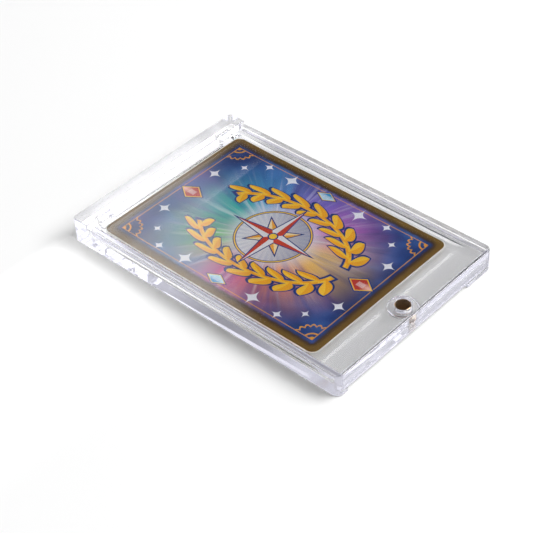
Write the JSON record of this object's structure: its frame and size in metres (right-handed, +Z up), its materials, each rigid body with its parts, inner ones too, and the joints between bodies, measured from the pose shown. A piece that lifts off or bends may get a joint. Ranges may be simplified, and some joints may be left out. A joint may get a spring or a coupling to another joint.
{
  "type": "magnetic card case",
  "caption": "Clear hard case that displays a trading card lying flat: a lid set between side rails hooks into a raised end bar on tabs and is held shut by disc magnets at the other end.",
  "frame": {"origin": "under the middle of the case, on the surface it lies on", "axes": "+X across the case, +Y from the magnets towards the raised bar, +Z up out of the card's face"},
  "size_m": [0.0722, 0.1092, 0.009],
  "materials": {
    "clear_plastic": "polished, water clear",
    "magnet_gold": "polished plating",
    "card_print": "satin varnished print"
  },
  "bodies": {
    "base": {"base_shell": "clear_plastic", "base_magnet": "magnet_gold", "display_card": "card_print"},
    "lid": {"lid_panel": "clear_plastic", "lid_magnet": "magnet_gold"}
  },
  "joints": [
    {"name": "lid_hinge", "type": "hinge", "parent": "base", "child": "lid", "pos_m": [0, 0.04585, 0.00615], "axis": [-1, 0, 0], "range_deg": [0, 45]}
  ]
}
